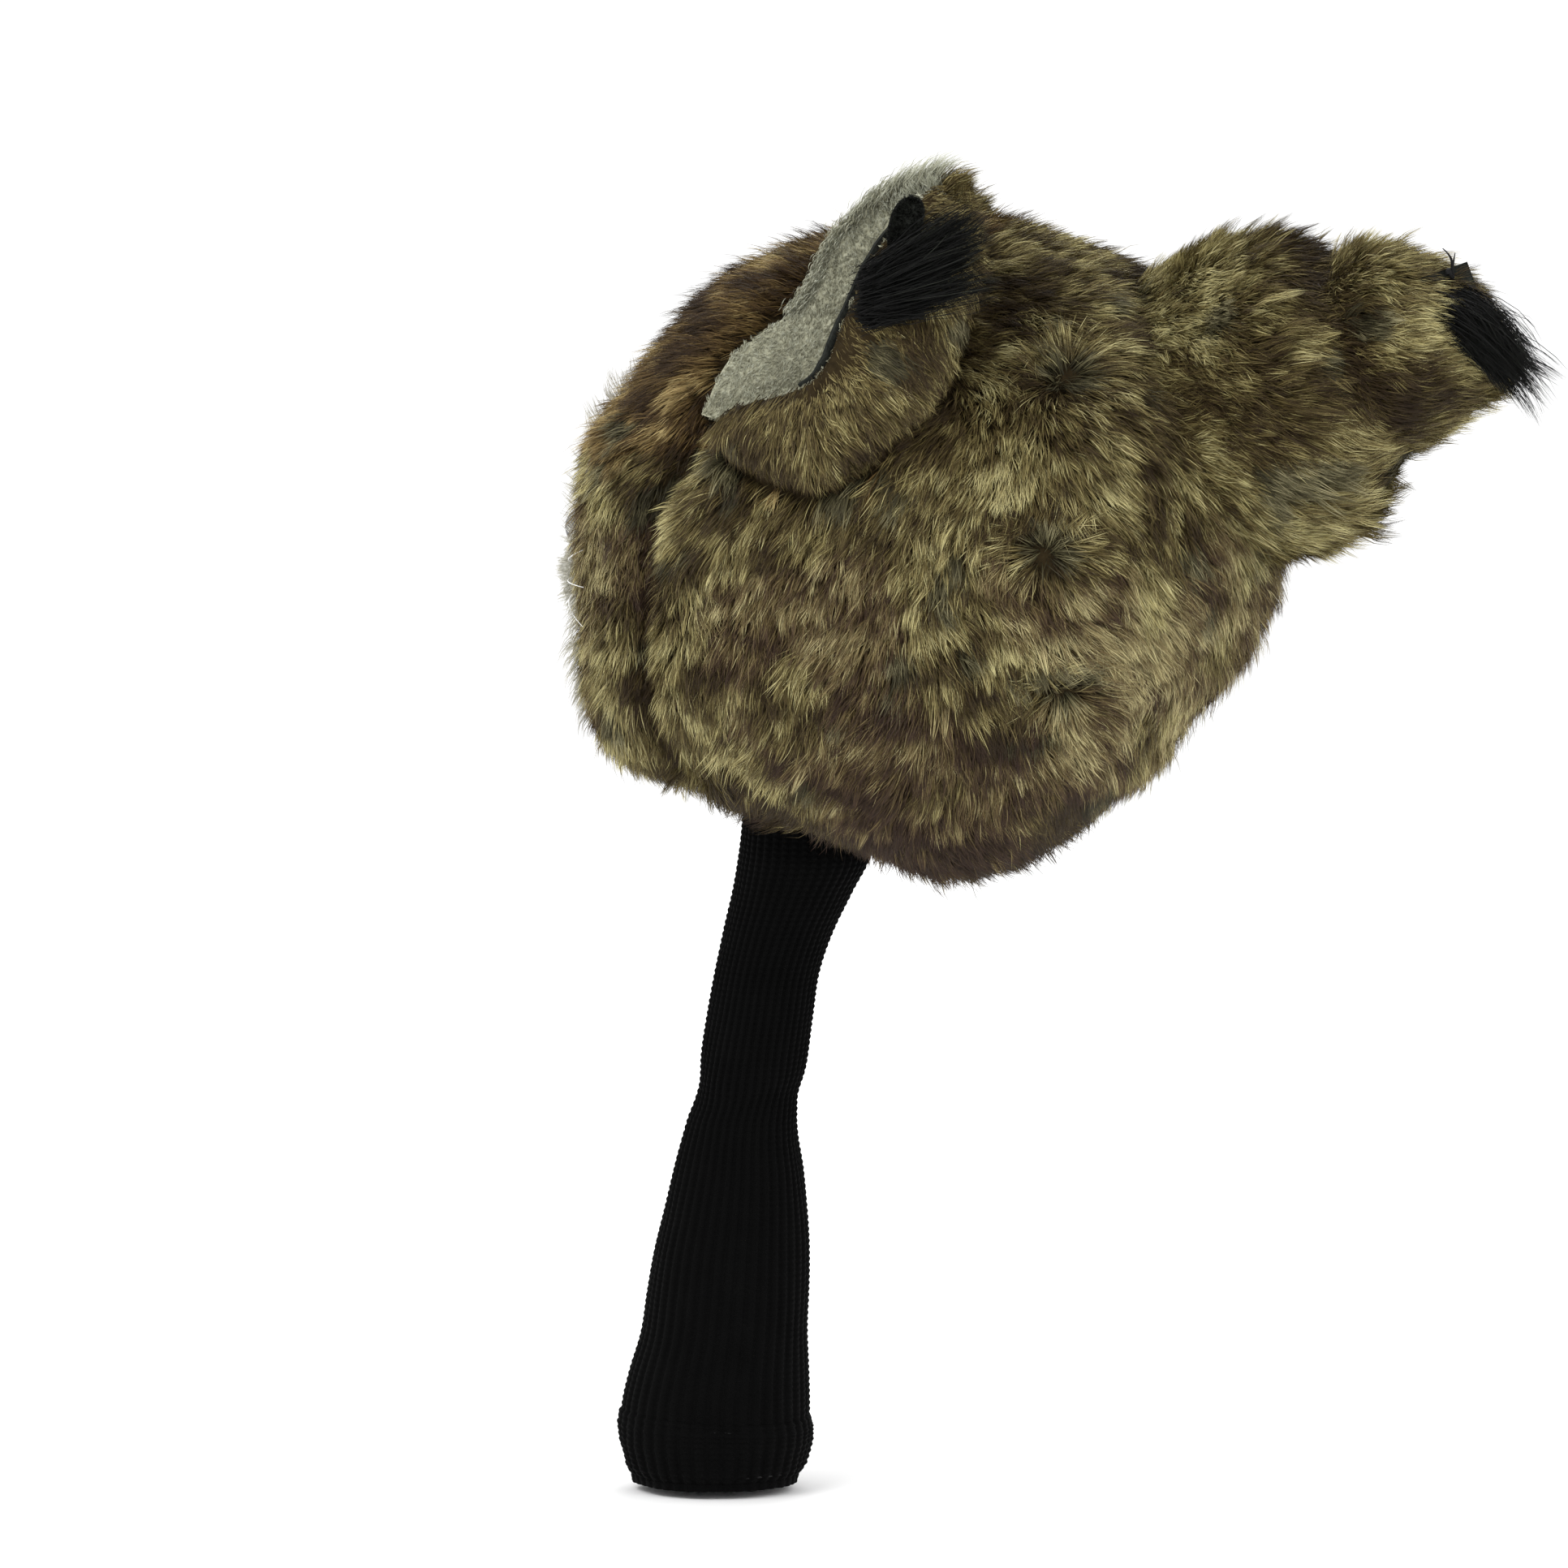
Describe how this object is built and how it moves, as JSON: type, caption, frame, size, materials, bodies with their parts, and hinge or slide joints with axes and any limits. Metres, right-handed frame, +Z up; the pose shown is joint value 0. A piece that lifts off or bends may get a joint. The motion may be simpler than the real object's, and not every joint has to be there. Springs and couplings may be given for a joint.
{
  "type": "driver head cover",
  "caption": "Plush long-pile fur cover, shaped as a stub-tailed wild cat's head and body, that pulls over a golf driver's head, with a black rib-knit sock for the shaft.",
  "frame": {"origin": "centre of the throat, the opening under the stuffed head where the knit sock is sewn in", "axes": "+Z up towards the crown, -Y towards the face, +Y towards the tail, +X towards the animal's left ear"},
  "size_m": [0.1668, 0.2647, 0.3309],
  "materials": {
    "fur": "matte",
    "wadding": "matte",
    "lining": "matte",
    "grey_pile": "matte",
    "white_plush": "matte",
    "elastic": "matte",
    "black_plastic": "gloss",
    "eye_plastic": "gloss",
    "washer_plastic": "satin",
    "monofilament": "satin",
    "black_felt": "matte",
    "black_fur": "matte",
    "black_thread": "matte",
    "black_knit": "matte"
  },
  "bodies": {
    "head": {"crown_panel": "fur", "eye_left": "eye_plastic", "eye_right": "eye_plastic", "eye_washer_left": "washer_plastic", "eye_washer_right": "washer_plastic", "face_panel": "fur", "inner_lining_left": "lining", "inner_lining_right": "lining", "muzzle_cover": "white_plush", "muzzle_filling": "wadding", "neck_elastic": "elastic", "nose": "black_plastic", "padding_left": "wadding", "padding_right": "wadding", "side_panel_left": "fur", "side_panel_right": "fur", "under_panel": "fur", "whiskers_left": "monofilament", "whiskers_right": "monofilament"},
    "left_ear": {"ear_back_left": "fur", "ear_edge_strip_left": "black_felt", "ear_lining_left": "grey_pile", "ear_tip_tab_left": "black_felt", "ear_tuft_left": "black_fur"},
    "right_ear": {"ear_back_right": "fur", "ear_edge_strip_right": "black_felt", "ear_lining_right": "grey_pile", "ear_tip_tab_right": "black_felt", "ear_tuft_right": "black_fur"},
    "tail_root": {"tail_root_sleeve": "fur", "tail_root_filling": "wadding"},
    "tail_end": {"tail_sleeve": "fur", "tail_filling": "wadding", "tail_end_patch": "black_felt", "tail_thread_knot": "black_thread", "tail_tip_fur": "black_fur"},
    "sock_top": {"sock_upper": "black_knit"},
    "sock_bottom": {"sock_lower": "black_knit", "cuff_hem": "black_knit", "hem_elastic": "elastic", "hem_stitching": "black_thread"}
  },
  "joints": [
    {"name": "left_ear_fold", "type": "hinge", "parent": "head", "child": "left_ear", "pos_m": [0.059, 0.003, 0.124], "axis": [-0.4444, 0.4444, 0.7778], "range_deg": [-25, 10], "stiffness_Nm_per_rad": 0.06},
    {"name": "right_ear_fold", "type": "hinge", "parent": "head", "child": "right_ear", "pos_m": [-0.059, 0.003, 0.124], "axis": [-0.4444, -0.4444, -0.7778], "range_deg": [-25, 10], "stiffness_Nm_per_rad": 0.06},
    {"name": "tail_nod", "type": "hinge", "parent": "head", "child": "tail_root", "pos_m": [0, 0.10519, 0.10615], "axis": [1, 0, 0], "range_deg": [-12, 15], "stiffness_Nm_per_rad": 1.2},
    {"name": "tail_swing", "type": "hinge", "parent": "tail_root", "child": "tail_end", "pos_m": [0, 0.12793, 0.11443], "axis": [0, -0.342, 0.9397], "range_deg": [-15, 15], "stiffness_Nm_per_rad": 0.5},
    {"name": "neck_bend", "type": "hinge", "parent": "head", "child": "sock_top", "pos_m": [0, 0, 0.004], "axis": [1, 0, 0], "range_deg": [-20, 20], "stiffness_Nm_per_rad": 0.2},
    {"name": "sock_fold", "type": "hinge", "parent": "sock_top", "child": "sock_bottom", "pos_m": [0, -0.0165, -0.068], "axis": [1, 0, 0], "range_deg": [-20, 20], "stiffness_Nm_per_rad": 0.12}
  ]
}
